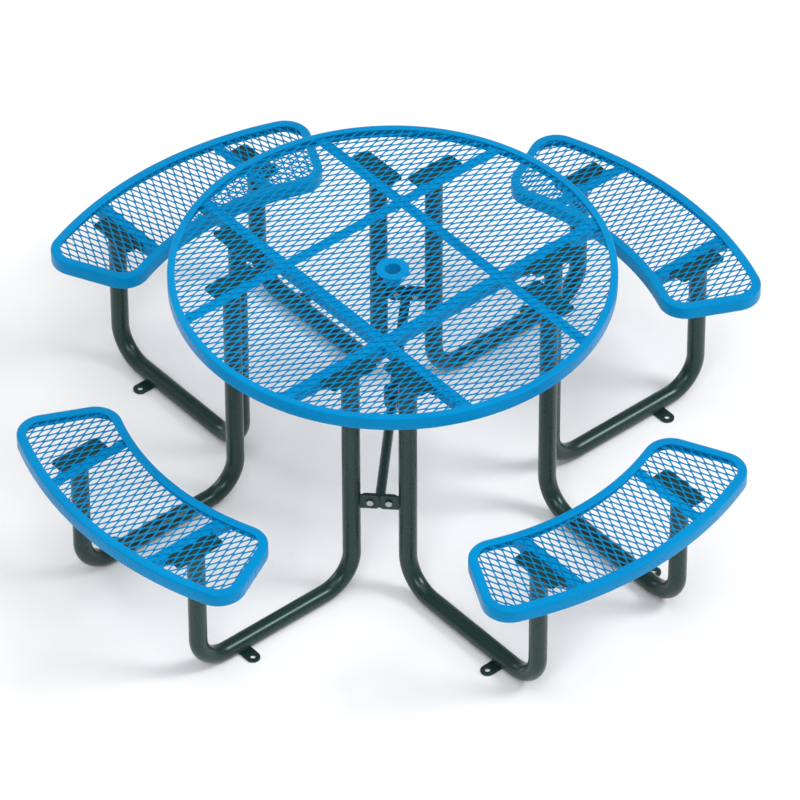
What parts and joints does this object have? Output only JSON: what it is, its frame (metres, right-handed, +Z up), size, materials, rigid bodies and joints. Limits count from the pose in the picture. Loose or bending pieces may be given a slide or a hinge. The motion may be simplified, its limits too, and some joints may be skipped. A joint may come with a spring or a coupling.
{
  "type": "picnic table",
  "caption": "Round picnic table with diamond-mesh top, curved attached seats on bent tube legs, umbrella collar and bolt-down foot tabs.",
  "frame": {"origin": "on the floor, straight under the centre of the table top", "axes": "+Z up; the four seats lie on the +X, +Y, -X and -Y sides"},
  "size_m": [2.0394, 2.0394, 0.74],
  "materials": {
    "coated_blue": "thick glossy plastisol coating, azure blue, over steel",
    "frame_grey": "semi-gloss powder coat, dark green-grey",
    "zinc": "bright zinc-plated hexagon fasteners"
  },
  "bodies": {
    "root": {"anchor_tabs": "frame_grey", "leg_tube_back_a": "frame_grey", "leg_tube_back_b": "frame_grey", "leg_tube_front_a": "frame_grey", "leg_tube_front_b": "frame_grey", "leg_tube_left_a": "frame_grey", "leg_tube_left_b": "frame_grey", "leg_tube_right_a": "frame_grey", "leg_tube_right_b": "frame_grey", "seat_braces_back": "coated_blue", "seat_braces_front": "coated_blue", "seat_braces_left": "coated_blue", "seat_braces_right": "coated_blue", "seat_bracket_back_a": "frame_grey", "seat_bracket_back_b": "frame_grey", "seat_bracket_bolts": "zinc", "seat_bracket_front_a": "frame_grey", "seat_bracket_front_b": "frame_grey", "seat_bracket_left_a": "frame_grey", "seat_bracket_left_b": "frame_grey", "seat_bracket_nuts": "zinc", "seat_bracket_right_a": "frame_grey", "seat_bracket_right_b": "frame_grey", "seat_mesh_back": "coated_blue", "seat_mesh_front": "coated_blue", "seat_mesh_left": "coated_blue", "seat_mesh_right": "coated_blue", "seat_rim_back": "coated_blue", "seat_rim_front": "coated_blue", "seat_rim_left": "coated_blue", "seat_rim_right": "coated_blue", "strut_bar_back": "frame_grey", "strut_bar_front": "frame_grey", "tie_bolts": "zinc", "tie_lug_back_a": "frame_grey", "tie_lug_back_b": "frame_grey", "tie_lug_front_a": "frame_grey", "tie_lug_front_b": "frame_grey", "tie_nuts": "zinc", "tie_plate_back": "frame_grey", "tie_plate_front": "frame_grey", "top_brace_back": "coated_blue", "top_brace_front": "coated_blue", "top_brace_left": "coated_blue", "top_brace_right": "coated_blue", "top_bracket_back_a": "frame_grey", "top_bracket_back_b": "frame_grey", "top_bracket_bolts": "zinc", "top_bracket_front_a": "frame_grey", "top_bracket_front_b": "frame_grey", "top_bracket_left_a": "frame_grey", "top_bracket_left_b": "frame_grey", "top_bracket_nuts": "zinc", "top_bracket_right_a": "frame_grey", "top_bracket_right_b": "frame_grey", "top_mesh": "coated_blue", "top_rim": "coated_blue", "umbrella_collar": "coated_blue", "umbrella_pole_ring": "frame_grey"}
  },
  "joints": []
}
